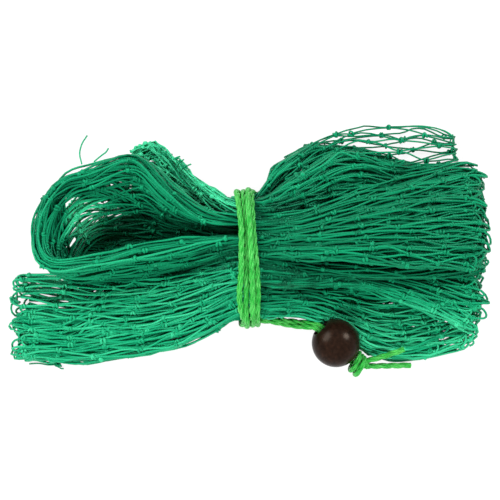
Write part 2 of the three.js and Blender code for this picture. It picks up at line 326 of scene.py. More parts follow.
# %% A smooth curve through points
def smooth_curve(points, steps):
    """A centripetal Catmull-Rom curve, with a number of steps for each span."""
    line = np.asarray(points, float)
    line = np.vstack([2 * line[0] - line[1], line, 2 * line[-1] - line[-2]])
    gap = np.maximum(np.linalg.norm(np.diff(line, axis=0), axis=1) ** 0.5, 1e-6)
    share = np.linspace(0, 1, steps, endpoint=False)[:, None]
    parts = []
    for at in range(1, len(line) - 2):
        before, here, after = gap[at - 1:at + 2]
        last, start, stop, later = line[at - 1:at + 3]
        rise = stop - start
        leave = (start - last) / before - (stop - last) / (before + here)
        leave = (leave + rise / here) * here
        arrive = rise / here - (later - start) / (here + after)
        arrive = (arrive + (later - stop) / after) * here
        parts.append(start + leave * share + (3 * rise - 2 * leave - arrive) * share**2
                     + (leave + arrive - 2 * rise) * share**3)
    return np.vstack(parts + [line[-2:-1]])


# %% The middle surface of a piece
ACROSS = 12
STEPS = 6


class Pass:
    """The middle surface of one piece of the net, with its normals, thickness and length."""

    def __init__(self, fold):
        rows = sections_of(fold)
        low = smooth_curve(rows[:, 0:3], STEPS)
        high = smooth_curve(rows[:, 3:6], STEPS)
        at = np.linspace(0, len(rows) - 1, len(low))
        crown = np.interp(at, range(len(rows)), rows[:, 6])
        self.thickness = np.interp(at, range(len(rows)), rows[:, 7])
        w = np.linspace(0, 1, ACROSS + 1)
        self.points = low[:, None] + (high - low)[:, None] * w[None, :, None]
        self.points[:, :, 2] += crown[:, None] * (4 * w * (1 - w))[None, :]
        along = np.gradient(self.points, axis=0)
        across = np.gradient(self.points, axis=1)
        normal = np.cross(along, across)
        self.normals = normal / np.linalg.norm(normal, axis=2, keepdims=True)
        middle = self.points[:, ACROSS // 2]
        steps = np.linalg.norm(np.diff(middle, axis=0), axis=1)
        self.lengths = np.concatenate([[0], np.cumsum(steps)])
        self.widths = np.linalg.norm(high - low, axis=1)
        self.bend = None
        if "reach" in fold:
            first = (len(fold["out"]) - 1) * STEPS
            last = first + (len(BEND_ANGLES) + 1) * STEPS
            self.bend = (self.lengths[first], self.lengths[last])

    def place(self, s, w, d):
        """Points s along the piece, w across it (0 to 1), d millimetres off its middle."""
        along = np.interp(s, self.lengths, np.arange(len(self.lengths)))
        row = np.clip(along.astype(int), 0, len(self.lengths) - 2)
        past_row = (along - row)[..., None]
        across = np.asarray(w) * ACROSS
        column = np.clip(across.astype(int), 0, ACROSS - 1)
        past_column = (across - column)[..., None]

        def mix(grid):
            near = grid[row, column] * (1 - past_column) + grid[row, column + 1] * past_column
            far = grid[row + 1, column] * (1 - past_column) + grid[row + 1, column + 1] * past_column
            return near * (1 - past_row) + far * past_row

        return mix(self.points) + mix(self.normals) * np.asarray(d)[..., None]

    def value(self, table, s):
        """A value kept for each row, read at s along the piece."""
        return np.interp(s, self.lengths, table)


passes = {name: Pass(fold) for name, fold in FOLDS.items()}
for name, surface in passes.items():
    print(f"{name}: {surface.lengths[-1]:.0f} mm of net")

# %% [markdown]
# ## The camera
# The bundle is seen from above and a little from the front, the way it lies on a table before someone.
# A long lens, 90 mm, keeps the left and right ends the same size. The lens and the sensor give the
# distance at which the view is 187.5 mm wide.

# %% Camera
VIEW_WIDTH = 187.5
CAMERA_ELEVATION = math.radians(80)
CAMERA_AIM = (0, -3.64, 12)
camera_data = bpy.data.cameras.new("camera")
camera_data.lens = 90
camera_data.sensor_width = 36
camera = new_object("camera", camera_data)
aim = Vector(in_frame(CAMERA_AIM))
away = Vector((0, -math.cos(CAMERA_ELEVATION), math.sin(CAMERA_ELEVATION)))
distance = VIEW_WIDTH * MM * camera_data.lens / camera_data.sensor_width
camera.location = aim + away * distance
camera.rotation_euler = (math.pi / 2 - CAMERA_ELEVATION, 0, 0)
camera_data.clip_start = 0.01
bpy.context.scene.camera = camera
print("camera stands", round(distance, 3), "m away")

# %% [markdown]
# ## Helpers for node trees
# The net and the cord are both made by Geometry Nodes: a tree takes thin lines and puts twine on them.
# A few small helpers keep the trees short. One adds a node with its inputs filled in, one starts a tree with
# named inputs, and one runs a tree on lines and gives back a plain mesh, so no live modifier stays on it.

# %% Helpers for node trees
def plug(tree, value, socket):
    """Link an output to a socket, or set the socket's own value."""
    if isinstance(value, bpy.types.NodeSocket):
        tree.links.new(value, socket)
    else:
        socket.default_value = value


def node(tree, kind, inputs=None, **settings):
    """Add a node with settings of its own. What goes into it is given by a socket's name or number."""
    made = tree.nodes.new(kind)
    for name, value in settings.items():
        setattr(made, name, value)
    for key, value in (inputs or {}).items():
        plug(tree, value, made.inputs[key])
    return made


def output(tree, kind, inputs=None, **settings):
    """Add a node and give its first output, to plug into the next one."""
    return node(tree, kind, inputs, **settings).outputs[0]


def math_node(tree, operation, *values):
    """Work out a number from one, two or three others."""
    return output(tree, "ShaderNodeMath", dict(enumerate(values)), operation=operation)


def attribute(tree, name, kind):
    """Read a named attribute of the points."""
    return output(tree, "GeometryNodeInputNamedAttribute", {"Name": name}, data_type=kind)


def store(tree, geometry, name, kind, value):
    """Write a named attribute on the points of a geometry."""
    return output(tree, "GeometryNodeStoreNamedAttribute",
                  {"Geometry": geometry, "Name": name, "Value": value}, data_type=kind, domain="POINT")


def join(tree, parts):
    """Put several geometries together."""
    whole = node(tree, "GeometryNodeJoinGeometry")
    for part in parts:
        tree.links.new(part, whole.inputs[0])
    return whole.outputs[0]


def ring(tree, sides, radius):
    """A small circle to sweep along a line. Each of its points keeps its own place as 'round'."""
    circle = output(tree, "GeometryNodeCurvePrimitiveCircle", {"Resolution": sides, "Radius": radius},
                    mode="RADIUS")
    return store(tree, circle, "round", "FLOAT_VECTOR", output(tree, "GeometryNodeInputPosition"))


def sweep(tree, curves, profile):
    """A closed tube along curves, with the shape of the profile."""
    return output(tree, "GeometryNodeCurveToMesh",
                  {"Curve": curves, "Profile Curve": profile, "Fill Caps": True})


def finish_tree(tree, geometry, material, result):
    """The end of each tree: smooth shading, real copies in place of instances, and the material."""
    smooth = output(tree, "GeometryNodeSetShadeSmooth", {"Geometry": geometry})
    whole = output(tree, "GeometryNodeRealizeInstances", {"Geometry": smooth})
    dressed = output(tree, "GeometryNodeSetMaterial", {"Geometry": whole, "Material": material})
    plug(tree, dressed, result["Geometry"])


def new_tree(name, inputs):
    """A geometry tree with a geometry socket at each end and named inputs between."""
    tree = bpy.data.node_groups.new(name, "GeometryNodeTree")
    tree.interface.new_socket("Geometry", in_out="INPUT", socket_type="NodeSocketGeometry")
    tree.interface.new_socket("Geometry", in_out="OUTPUT", socket_type="NodeSocketGeometry")
    for label, kind in inputs:
        tree.interface.new_socket(label, in_out="INPUT", socket_type=kind)
    return tree, node(tree, "NodeGroupInput").outputs, node(tree, "NodeGroupOutput").inputs


# %% Lines in, plain mesh out
def lines_object(name, points, edges, **values):
    """A mesh of bare edges, with values kept on its points."""
    mesh = bpy.data.meshes.new(name)
    mesh.from_pydata(np.asarray(points).tolist(), np.asarray(edges).tolist(), [])
    for label, data in values.items():
        data = np.asarray(data, float)
        kind = "FLOAT_VECTOR" if data.ndim == 2 else "FLOAT"
        field = mesh.attributes.new(label, kind, "POINT")
        field.data.foreach_set("vector" if data.ndim == 2 else "value", data.ravel())
    return new_object(name, mesh)


def run_tree(thing, tree, **values):
    """Run a tree on an object and keep the result as its plain mesh."""
    modifier = thing.modifiers.new("tree", "NODES")
    modifier.node_group = tree
    for item in tree.interface.items_tree:
        if item.in_out == "INPUT" and item.name in values:
            modifier[item.identifier] = values[item.name]
    graph = bpy.context.evaluated_depsgraph_get()
    graph.update()
    mesh = bpy.data.meshes.new_from_object(thing.evaluated_get(graph))
    thing.modifiers.remove(modifier)
    old = thing.data
    thing.data = mesh
    bpy.data.meshes.remove(old)
    mesh.name = thing.name
    triangles = sum(len(face.vertices) - 2 for face in mesh.polygons)
    print(f"{thing.name}: {triangles} triangles")


# %% [markdown]
# ## Finishes of the cord
# The drawcord is bright green plastic fibre, laid from three strands. Each strand is a bundle of fine fibres
# that run along it, so the finish needs lines along the strand, a little unevenness of colour, and the soft
# gloss that plastic fibre has. The tree below leaves two values on the cord: how far along it a point is,
# and on which side of its strand it sits. The finish draws its fibres from those, so they follow each turn.

# %% Helpers for materials
def new_material(name):
    """A material with its Principled shader and tree."""
    made = bpy.data.materials.new(name)
    made.use_nodes = True
    tree = made.node_tree
    return made, tree, tree.nodes["Principled BSDF"]


def shader_attribute(tree, name):
    return node(tree, "ShaderNodeAttribute", attribute_name=name)


def ramp(tree, value, *stops):
    """A colour ramp. Each stop is a place and a colour or a grey."""
    made = node(tree, "ShaderNodeValToRGB", {0: value})
    elements = made.color_ramp.elements
    while len(elements) < len(stops):
        elements.new(0.5)
    for element, (place, colour) in zip(elements, stops):
        element.position = place
        colour = (colour,) * 3 if isinstance(colour, (int, float)) else colour
        element.color = (*colour, 1)
    return made.outputs["Color"]


def noise(tree, vector, scale, detail=2.0):
    made = node(tree, "ShaderNodeTexNoise", {"Vector": vector, "Scale": scale, "Detail": detail})
    return made.outputs["Fac"]


def stain(tree, shader, colour, shade):
    """The shader's colour: a colour that a second pattern darkens in places."""
    mixed = node(tree, "ShaderNodeMix", {0: 1.0, 6: colour, 7: shade},
                 data_type="RGBA", blend_type="MULTIPLY")
    plug(tree, mixed.outputs[2], shader.inputs["Base Color"])


def gloss(shader, roughness, level, tint):
    """How rough the surface is, how much it mirrors and in which colour."""
    shader.inputs["Roughness"].default_value = roughness
    shader.inputs["Specular IOR Level"].default_value = level
    shader.inputs["Specular Tint"].default_value = (*tint, 1)


def bump(tree, shader, height, strength, depth):
    made = output(tree, "ShaderNodeBump", {"Strength": strength, "Distance": depth, "Height": height})
    plug(tree, made, shader.inputs["Normal"])


def along_and_round(tree):
    """The distance along a strand in metres and the angle round it, from the values kept on it."""
    along = shader_attribute(tree, "along").outputs["Fac"]
    apart = node(tree, "ShaderNodeSeparateXYZ", {0: shader_attribute(tree, "round").outputs["Vector"]})
    return along, math_node(tree, "ARCTAN2", apart.outputs[1], apart.outputs[0])


# %% Finish of the drawcord
FIBRE_TWIST = 900.0
FIBRE_STRETCH = 60.0


def make_drawcord():
    made, tree, shader = new_material("bright green laid cord")
    along, angle = along_and_round(tree)
    turned = math_node(tree, "MULTIPLY_ADD", along, FIBRE_TWIST, angle)
    fibre_place = output(tree, "ShaderNodeCombineXYZ", {
        0: math_node(tree, "COSINE", turned),
        1: math_node(tree, "SINE", turned),
        2: math_node(tree, "MULTIPLY", along, FIBRE_STRETCH)})
    fibres = noise(tree, fibre_place, 5.0, 3.0)
    patches = noise(tree, node(tree, "ShaderNodeTexCoord").outputs["Object"], 320.0)
    green = ramp(tree, fibres, (0.32, (0.002, 0.14, 0.010)), (0.52, (0.016, 0.32, 0.034)),
                 (0.78, (0.26, 0.76, 0.24)))
    stain(tree, shader, green, ramp(tree, patches, (0.35, 0.86), (0.65, 1.0)))
    gloss(shader, 0.38, 0.45, (0.30, 1.0, 0.36))
    shader.inputs["Sheen Weight"].default_value = 0.05
    shader.inputs["Sheen Roughness"].default_value = 0.4
    bump(tree, shader, fibres, 0.6, 0.00012)
    return made


drawcord = make_drawcord()
print("finish:", drawcord.name)

# %% [markdown]
# ## Three-strand cord
# Laid cord is three strands twisted round each other. It could be drawn as a tube with a bump, but the
# hollows between the strands show at its outline, so they are real here. The tree takes a line, gives it a
# tilt that grows along it, and sweeps three small circles along the tilted line. A strand goes once round
# in a little over five cord diameters, so one of the three crosses the front every 4 mm.

# %% Tree for laid cord
CORD_D = 2.3
CORD_LAY = 12.5
CORD_STEP = 0.55
STRAND_RADIUS = 0.285 * CORD_D
STRAND_CENTRE = 0.215 * CORD_D
STRAND_SIDES = 9


def make_cord_tree():
    tree, given, result = new_tree("Laid cord", [
        ("Step", "NodeSocketFloat"), ("Lay", "NodeSocketFloat"), ("Strand radius", "NodeSocketFloat"),
        ("Strand centre", "NodeSocketFloat"), ("Sides", "NodeSocketInt"),
        ("Material", "NodeSocketMaterial")])
    line = output(tree, "GeometryNodeMeshToCurve", {"Mesh": given["Geometry"]})
    even = output(tree, "GeometryNodeResampleCurve", {"Curve": line, "Length": given["Step"]}, mode="LENGTH")
    length = node(tree, "GeometryNodeSplineParameter").outputs["Length"]
    marked = store(tree, even, "along", "FLOAT", length)
    turns = math_node(tree, "DIVIDE", length, given["Lay"])
    tilt = math_node(tree, "MULTIPLY", turns, math.tau)
    tilted = output(tree, "GeometryNodeSetCurveTilt", {"Curve": marked, "Tilt": tilt})
    strand = ring(tree, given["Sides"], given["Strand radius"])
    strands = []
    for third in range(3):
        angle = third * math.tau / 3
        offset = output(tree, "ShaderNodeVectorMath", {
            0: (math.cos(angle), math.sin(angle), 0), "Scale": given["Strand centre"]}, operation="SCALE")
        strands.append(output(tree, "GeometryNodeTransform", {"Geometry": strand, "Translation": offset}))
    finish_tree(tree, sweep(tree, tilted, join(tree, strands)), given["Material"], result)
    return tree


cord_tree = make_cord_tree()


# %% Lay a cord along a line
def lay_cord(name, path, solid, closed=False):
    """Three-strand cord along a line in millimetres from the tie. On a closed line the strands meet."""
    count = len(path)
    edges = [(i, (i + 1) % count) for i in range(count if closed else count - 1)]
    lay = CORD_LAY
    if closed:
        girth = length_of(np.vstack([path, path[:1]]))
        lay = girth / round(girth / CORD_LAY)
    thing = lines_object(name, in_frame(path), edges)
    values = {"Step": CORD_STEP * MM, "Lay": lay * MM, "Strand radius": STRAND_RADIUS * MM,
              "Strand centre": STRAND_CENTRE * MM, "Sides": STRAND_SIDES, "Material": drawcord}
    run_tree(thing, cord_tree, **values)
    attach(thing, "root")
    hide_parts(solid)
    return thing


# %% [markdown]
# ## The tie
# The cord goes round the bundle twice as a doubled line, so four turns lie over the top. Each turn is a
# rounded box lying down, a little squarer than an oval, because the bundle fills it. They aren't neat:
# they close up at the far side and spread towards the near side, and where there is no room two of them
# ride up on the others. A short table says where each one runs and how far it rides up.

# %% Four turns
TURN_HALF_WIDTH = 25
TURN_HALF_HEIGHT = 13.75
TURN_SQUARENESS = 2.9
TURN_POINTS = 144
FAR_SIDE_DRAWN_IN = 0.95
SMOOTHING_ROUNDS = 5
# the near side comes first: y, then for each turn its x there and how far it rides up
TOP_Y = (-31.8, -28, -22.5, -15, 0.7, 9, 18)
TURN_TOPS = {
    1: ((-1.9, -3.3, -3.9, -3.1, -3.0, -3.9, -5.2), (0, 0.6, 0.4, 1.3, 1.5, 0.5, 0)),
    2: ((-1.0, -1.5, -1.3, -1.2, -1.4, -2.1, -2.6), (1.6, 0, 0, 0, 0, 0, 0)),
    3: ((1.2, 0.8, 1.0, 0.7, 0.1, -0.6, -0.7), (0.4, 0.9, 1.0, 1.4, 1.7, 1.6, 0.7)),
    4: ((2.6, 2.6, 2.9, 2.6, 1.2, 0.7, 0.5), (0, 0, 0, 0, 0, 0, 0)),
}
TURN_BOTTOMS = {1: -3.2, 2: -1.2, 3: 0.9, 4: 2.9}


def turn_path(number):
    """One turn: a rounded box on its side. Its top follows the table and its bottom is straight."""
    angles = np.linspace(0, math.tau, TURN_POINTS, endpoint=False)
    cosine, sine = np.cos(angles), np.sin(angles)
    power = 2 / TURN_SQUARENESS
    y = TIE_MIDDLE_Y + TURN_HALF_WIDTH * np.sign(cosine) * np.abs(cosine) ** power
    y = np.where(y > 0, FAR_SIDE_DRAWN_IN * y, y)
    z = TIE_Z + TURN_HALF_HEIGHT * np.sign(sine) * np.abs(sine) ** power
    top, lift = (np.interp(y, TOP_Y, row) for row in TURN_TOPS[number])
    share = step(sine, -0.25, 0.25)
    x = TURN_BOTTOMS[number] + (top - TURN_BOTTOMS[number]) * share
    out = np.stack([0 * y, (y - TIE_MIDDLE_Y) / TURN_HALF_WIDTH**2, (z - TIE_Z) / TURN_HALF_HEIGHT**2], 1)
    out /= np.linalg.norm(out, axis=1, keepdims=True)
    path = np.stack([x, y, z], 1) + out * (lift * share)[:, None]
    for _ in range(SMOOTHING_ROUNDS):
        path = (np.roll(path, 1, 0) + 2 * path + np.roll(path, -1, 0)) / 4
    return path


for number in (1, 2, 3, 4):
    lay_cord(f"tie_turn_{number}", turn_path(number), f"cord_turn_{number}", closed=True)

# %% [markdown]
# ## The tail
# The doubled end of the cord comes out from under the tie, goes through the bead and is stopped by a knot.
# Past the knot the two ends lie free. All of these keep close to the short routes of the solids. The two
# strands are pressed side by side.

# %% Routes of the tail
BEAD_AT = np.array([32, -38.3, 9])
BEAD_D = 18
BORE_AXIS = np.array([0.70, -0.64, -0.25])
BORE_AXIS = BORE_AXIS / np.linalg.norm(BORE_AXIS)
KNOT_D = 9.0
KNOT_BITE = 2.0
KNOT_AT = BEAD_AT + BORE_AXIS * (BEAD_D / 2 + KNOT_D / 2 - KNOT_BITE)
TAIL_PITCH = CORD_D - 0.8
CURVE_STEPS = 8
TAIL_ROUTE = [(1.2, -29.3, 6.8), (6, -29.6, 6.7), (12.5, -30.3, 7.2), (19, -31.3, 8.6), (24.6, -32.1, 10.2)]
TAIL_ROUTE += [tuple(BEAD_AT + BORE_AXIS * far) for far in (-4.5, 4.5, 8.7)]
FREE_END_ROUTES = {
    "a": [(43.0, -44.9, 6.6), (49.5, -43.2, 7.0), (57.6, -40.5, 6.9)],
    "b": [(43.4, -46.6, 5.0), (51, -46.3, 3.0), (60.6, -46.0, 1.9)],
}


def tail_strand(side):
    """One of the two strands: one above the other at the tie, and side by side at the bead."""
    middle = smooth_curve(TAIL_ROUTE, CURVE_STEPS)
    along = np.gradient(middle, axis=0)
    sideways = np.cross([0, 0, 1], along)
    sideways /= np.linalg.norm(sideways, axis=1, keepdims=True)
    turned = np.clip((middle[:, 0] - 8) / 10, 0, 1)[:, None] * math.pi / 2
    apart = sideways * np.sin(turned) + np.array([0, 0, 1]) * np.cos(turned)
    return middle + apart * side * TAIL_PITCH / 2


# %% Lay the tail and its free ends
tails = {}
for letter, side in (("a", 1), ("b", -1)):
    strand = tail_strand(side)
    end = smooth_curve(FREE_END_ROUTES[letter], CURVE_STEPS)
    tail = lay_cord(f"tail_{letter}", strand, f"cord_tail_{letter}")
    free = lay_cord(f"loose_end_{letter}", end, f"free_end_{letter}")
    tails[letter] = (tail, free, strand)
    print("tail", letter, round(length_of(strand), 1), "mm to the knot")

# %% [markdown]
# ## The stopper knot
# The two ends are tied in one small hard knot that can't pass the bead. Three slanting turns of cord show on
# its outside, and their ends tuck in under them. So the knot is a short coil of the same laid cord, wound
# tightly round the tail's line, with both ends led into its middle.

# %% Wind the knot
KNOT_TURNS = 2.6
KNOT_START = 0.6
KNOT_POINTS = 60


def knot_path():
    """A coil round the bore's line. Each turn leans, and both ends are led into the middle."""
    radius = (KNOT_D - CORD_D) / 2
    share = np.linspace(0, 1, KNOT_POINTS)
    angle = math.tau * KNOT_TURNS * share + KNOT_START
    out = radius * (0.35 + 0.65 * step(np.minimum(share, 1 - share), 0, 0.10))
    first = np.cross(BORE_AXIS, [0, 0, 1])
    first /= np.linalg.norm(first)
    second = np.cross(BORE_AXIS, first)
    lean = 0.175 * radius * np.cos(angle)
    rise = (share - 0.5) * (KNOT_D - CORD_D) * 0.92
    return (KNOT_AT + BORE_AXIS * (rise + lean)[:, None]
            + first * (out * np.cos(angle))[:, None] + second * (out * np.sin(angle))[:, None])


stopper = lay_cord("stopper_knot", knot_path(), "knot")

# %% [markdown]
# ## The wooden bead
# A bead is turned on a lathe, and a lathe is how it is made here: half an outline, spun round the bore.
# The bore's edges are rounded over, as a tumbled bead's are. The wood is stained nearly black-brown and
# lacquered. Fine grain runs along the bore, and the stain is a little redder where the lacquer is thin.

# %% Finish of the wood
def make_wood():
    made, tree, shader = new_material("dark stained wood")
    place = node(tree, "ShaderNodeTexCoord").outputs["Object"]
    drawn_out = output(tree, "ShaderNodeMapping", {"Vector": place, "Scale": (1.0, 1.0, 0.18)})
    grain = noise(tree, drawn_out, 900.0, 4.0)
    clouds = noise(tree, place, 190.0)
    brown = ramp(tree, grain, (0.30, (0.007, 0.0032, 0.0020)), (0.55, (0.013, 0.0058, 0.0035)),
                 (0.80, (0.023, 0.0100, 0.0060)))
    stain(tree, shader, brown, ramp(tree, clouds, (0.35, 0.84), (0.70, 1.0)))
    gloss(shader, 0.25, 0.085, (1.0, 0.82, 0.66))
    bump(tree, shader, grain, 0.12, 0.0001)
    return made


# %% Turn the bead
BEAD_BORE_D = 6.0
BEAD_EDGE = 0.9
BEAD_SIDES = 96


def bead_outline():
    """Half the section, from one end of the bore round the outside to the other, in millimetres."""
    radius, bore = BEAD_D / 2, BEAD_BORE_D / 2
    half = math.sqrt(radius**2 - (bore + BEAD_EDGE * 0.75) ** 2)
    start = math.atan2(half, bore + BEAD_EDGE * 0.75)
    outside = [(radius * math.cos(a), radius * math.sin(a)) for a in np.linspace(start, -start, 41)]
    lip = [(bore, half - BEAD_EDGE), (bore + 0.12, half - 0.4), (bore + 0.34, half - 0.1)]
    inside = [(bore, z) for z in np.linspace(-(half - BEAD_EDGE), half - BEAD_EDGE, 9)]
    return lip[1:] + outside + [(r, -z) for r, z in reversed(lip[1:])] + inside


def turn_bead():
    """Spin the outline round the bore."""
    outline = bead_outline()
    turn = Vector((0, 0, 1)).rotation_difference(Vector(BORE_AXIS)).to_matrix()
    points, faces = [], []
    for side in range(BEAD_SIDES):
        angle = math.tau * side / BEAD_SIDES
        for r, z in outline:
            at = turn @ Vector((r * math.cos(angle), r * math.sin(angle), z))
            points.append(in_frame(BEAD_AT + np.array(at)).tolist())
    count = len(outline)
    for side in range(BEAD_SIDES):
        here, there = side * count, (side + 1) % BEAD_SIDES * count
        for corner in range(count):
            after = (corner + 1) % count
            faces.append((here + corner, here + after, there + after, there + corner))
    mesh = bpy.data.meshes.new("wooden_bead")
    mesh.from_pydata(points, [], faces)
    mesh.shade_smooth()
    mesh.materials.append(make_wood())
    print("wooden_bead:", 2 * len(faces), "triangles")
    return new_object("wooden_bead", mesh)


wooden_bead = turn_bead()
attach(wooden_bead, "root")
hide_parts("bead")

# %% [markdown]
# ## The tail's lines in the frame
# Each strand of the tail comes out from under the tie and ends at the knot. Each free end leaves the knot
# and ends bare. Here the line of each strand is only moved into the frame.

for letter, (tail, free, path) in tails.items():
    strand = in_frame(path)

# %% [markdown]
# ## Net twine
# The net is knotted from thin twisted twine. Thousands of bars and knots repeat, so a tree makes them: it
# takes bare lines and sweeps a thin tube along each. Every point marked as a knot gets one. On the sheets
# that are seen, a knot is two tight turns of twine round the bars that meet there, slanting opposite ways,
# which is what a sheet bend looks like at this size. Deep inside the bundle a plain lump will do.

# %% Helpers for net twine
TWINE_D = 0.88
KNOT_RADIUS = 1.0
BAND_OFFSET = 0.85
BAND_SLANT = 0.42


def tube(tree, curves, sides, radius):
    """A tube of so many sides along curves."""
    return sweep(tree, curves, ring(tree, sides, radius))


def parted(tree, geometry, value, domain):
    """Split a geometry where a value is above a half. Gives the part above, then the rest."""
    above = output(tree, "FunctionNodeCompare", {0: value, 1: 0.5}, data_type="FLOAT",
                   operation="GREATER_THAN")
    split = node(tree, "GeometryNodeSeparateGeometry", {"Geometry": geometry, "Selection": above},
                 domain=domain)
    return split.outputs["Selection"], split.outputs["Inverted"]


def put_on(tree, points, shape, size, turn):
    """Put a shape on points, each turned and sized by its own values."""
    rotation = output(tree, "FunctionNodeEulerToRotation", {0: turn})
    scale = output(tree, "ShaderNodeCombineXYZ", {0: size, 1: size, 2: size})
    return output(tree, "GeometryNodeInstanceOnPoints",
                  {"Points": points, "Instance": shape, "Rotation": rotation, "Scale": scale})


def knot_shape(tree, radius, twine_radius):
    """Two tight turns of twine round the bars, slanting opposite ways. The bars run along x."""
    middle = math_node(tree, "SUBTRACT", radius, twine_radius)
    line = output(tree, "GeometryNodeCurvePrimitiveCircle", {"Resolution": 8, "Radius": middle},
                  mode="RADIUS")
    band = tube(tree, line, 4, twine_radius)
    bands = []
    for way in (-1, 1):
        offset = math_node(tree, "MULTIPLY", twine_radius, way * BAND_OFFSET)
        bands.append(output(tree, "GeometryNodeTransform", {
            "Geometry": band, "Translation": output(tree, "ShaderNodeCombineXYZ", {0: offset}),
            "Rotation": (0, math.pi / 2, way * BAND_SLANT)}))
    return join(tree, bands)


# %% Tree for net twine
def make_net_tree():
    tree, given, result = new_tree("Net twine", [
        ("Twine radius", "NodeSocketFloat"), ("Knot radius", "NodeSocketFloat"),
        ("Material", "NodeSocketMaterial")])
    size, fine = attribute(tree, "knot", "FLOAT"), attribute(tree, "fine", "FLOAT")
    turn = attribute(tree, "knot_turn", "FLOAT_VECTOR")
    knots, lines = parted(tree, given["Geometry"], size, "POINT")
    curve = output(tree, "GeometryNodeMeshToCurve", {"Mesh": lines})
    length = node(tree, "GeometryNodeSplineParameter").outputs["Length"]
    marked = store(tree, curve, "along", "FLOAT", length)
    seen_lines, hidden_lines = parted(tree, marked, fine, "CURVE")
    seen_knots, hidden_knots = parted(tree, knots, fine, "POINT")
    twine, lump = given["Twine radius"], given["Knot radius"]
    ball = output(tree, "GeometryNodeMeshUVSphere", {"Segments": 5, "Rings": 3, "Radius": lump})
    whole = join(tree, [
        tube(tree, seen_lines, 5, twine),
        tube(tree, hidden_lines, 4, twine),
        put_on(tree, seen_knots, knot_shape(tree, lump, twine), size, turn),
        put_on(tree, hidden_knots, ball, size, turn)])
    finish_tree(tree, whole, given["Material"], result)
    return tree


net_tree = make_net_tree()
print("the net tree has", len(net_tree.nodes), "nodes")

# %% Finish of the net
PLY_TWIST = 2800.0


def make_net_twine():
    made, tree, shader = new_material("green net twine")
    along, angle = along_and_round(tree)
    turned = math_node(tree, "MULTIPLY_ADD", along, PLY_TWIST, angle)
    twist = math_node(tree, "SINE", math_node(tree, "MULTIPLY", turned, 2.0))
    # The tone holds each twine's own small difference of colour, and also painted shade deep in the bundle
    # and painted light and shade for each pass. Both are put in when a piece is drawn.
    tone = shader_attribute(tree, "tone").outputs["Fac"]
    green = ramp(tree, tone, (0.0, (0.0, 0.026, 0.010)), (0.5, (0.005, 0.23, 0.100)),
                 (1.0, (0.040, 0.47, 0.230)))
    plug(tree, green, shader.inputs["Base Color"])
    gloss(shader, 0.38, 0.30, (0.18, 1.0, 0.66))
    bump(tree, shader, twist, 0.35, 0.00008)
    return made


net_twine = make_net_twine()
print("finish:", net_twine.name)

# %% [markdown]
# ## Knotting the net
# A hanging net's meshes are pulled nearly shut, so its twines run side by side along the piece. Every bar
# length a twine meets its neighbour on one side in a knot, then its neighbour on the other side. That zigzag
# is all a net is. Most passes hold several such sheets. Some go round the fold, and others end at it
# in a row of open loops. Bars bow a little, knots stand in uneven columns, and each twine drifts. Each of
# these is a smooth wave or a small random step with a fixed seed.

# %% Where twines rest before they are knotted
BAR = 13.8
# how firmly each twine of four tucks under its neighbours
TUCKS = np.array([0.2, 0.9, 0.5, 0.75])


def resting(surface, sheet, across, shift, s):
    """Where each twine would lie at s, before it is knotted: its place across and its depth."""
    twines = len(across)
    place = np.broadcast_to(across[:, None], (twines, s.shape[-1]))
    phase = shift + 0.3 * np.sin(s / surface.lengths[-1] * math.tau * 0.7 + shift * 9)
    pleat = math.tau * (sheet["pleats"] * place + phase)
    even = place + sheet["bunch"] / sheet["pleats"] * np.sin(pleat) / math.tau
    even = np.clip(even, 0.001, 2) ** sheet["crowd"](s)
    low, high = sheet["low"](s), sheet["high"](s)
    room = surface.value(surface.widths, s) * (high - low) / twines / 1.3
    turn = TUCKS[(np.arange(twines) // 2 + sheet["layer"]) % 4][:, None]
    tuck = np.clip((turn - room) * 4, 0, 1) * (0.4 + turn) * sheet["top"]
    return low + (high - low) * even, sheet["depth"](s) + sheet["lift"] * np.cos(pleat) - tuck


# %% Tie the twines in pairs
def columns_of(surface, rng, sheet):
    """Where columns of knots cross a sheet, a bar length apart, and the number of each."""
    number = np.arange(-1, int(surface.lengths[-1] / BAR) + 3)
    columns = sheet["lattice"] % BAR + BAR * number + rng.normal(0, sheet["step_error"], len(number))
    before = 0 if sheet["open_start"] else BAR * 1.2
    after = 0 if sheet["open_stop"] else BAR * 1.2
    chosen = (columns >= sheet["start"] - before) & (columns <= sheet["stop"] + after)
    return columns[chosen], number[chosen]


def knot_grid(surface, rng, sheet):
    """Every knot of a sheet, in a row for each twine and a column for each bar: its s, w and depth."""
    columns, number = columns_of(surface, rng, sheet)
    twine = np.arange(sheet["twines"])[:, None]
    nested = sheet["nested"] if sheet["fine"] else 0.5
    across = (twine[:, 0] + 0.5 + rng.uniform(-nested, nested)) / sheet["twines"]
    shift = sheet["pleat_at"] + rng.normal(0, 0.06)
    w, d = resting(surface, sheet, across, shift, columns[None, :])
    order = np.arange(len(columns))[None, :]
    partner = twine + np.where((twine + number) % 2 == 0, 1, -1)
    partner = np.where((partner < 0) | (partner >= sheet["twines"]), twine, partner)
    owner = np.minimum(twine, partner)

    def chance(spread):
        """A random step for each knot, the same for both of its twines."""
        return rng.normal(0, spread, owner.shape)[owner, order]

    wave = math.tau * (1.7 * across[:, None] + sheet["pleat_at"] * 7 + 0.13 * number)
    wander = sheet["wander"] * (np.sin(wave) + 0.6 * np.sin(2.3 * wave + 1))
    return {
        "s": columns + (chance(sheet["ragged"]) + wander[owner, order]),
        "w": (w + w[partner, order]) / 2 + chance(sheet["drift"]) / sheet["span"],
        "d": (d + d[partner, order]) / 2 + chance(sheet["uneven"]),
        "side": np.sign(twine - owner - 0.5) * (partner != twine),
        "tied": partner > twine, "number": number}


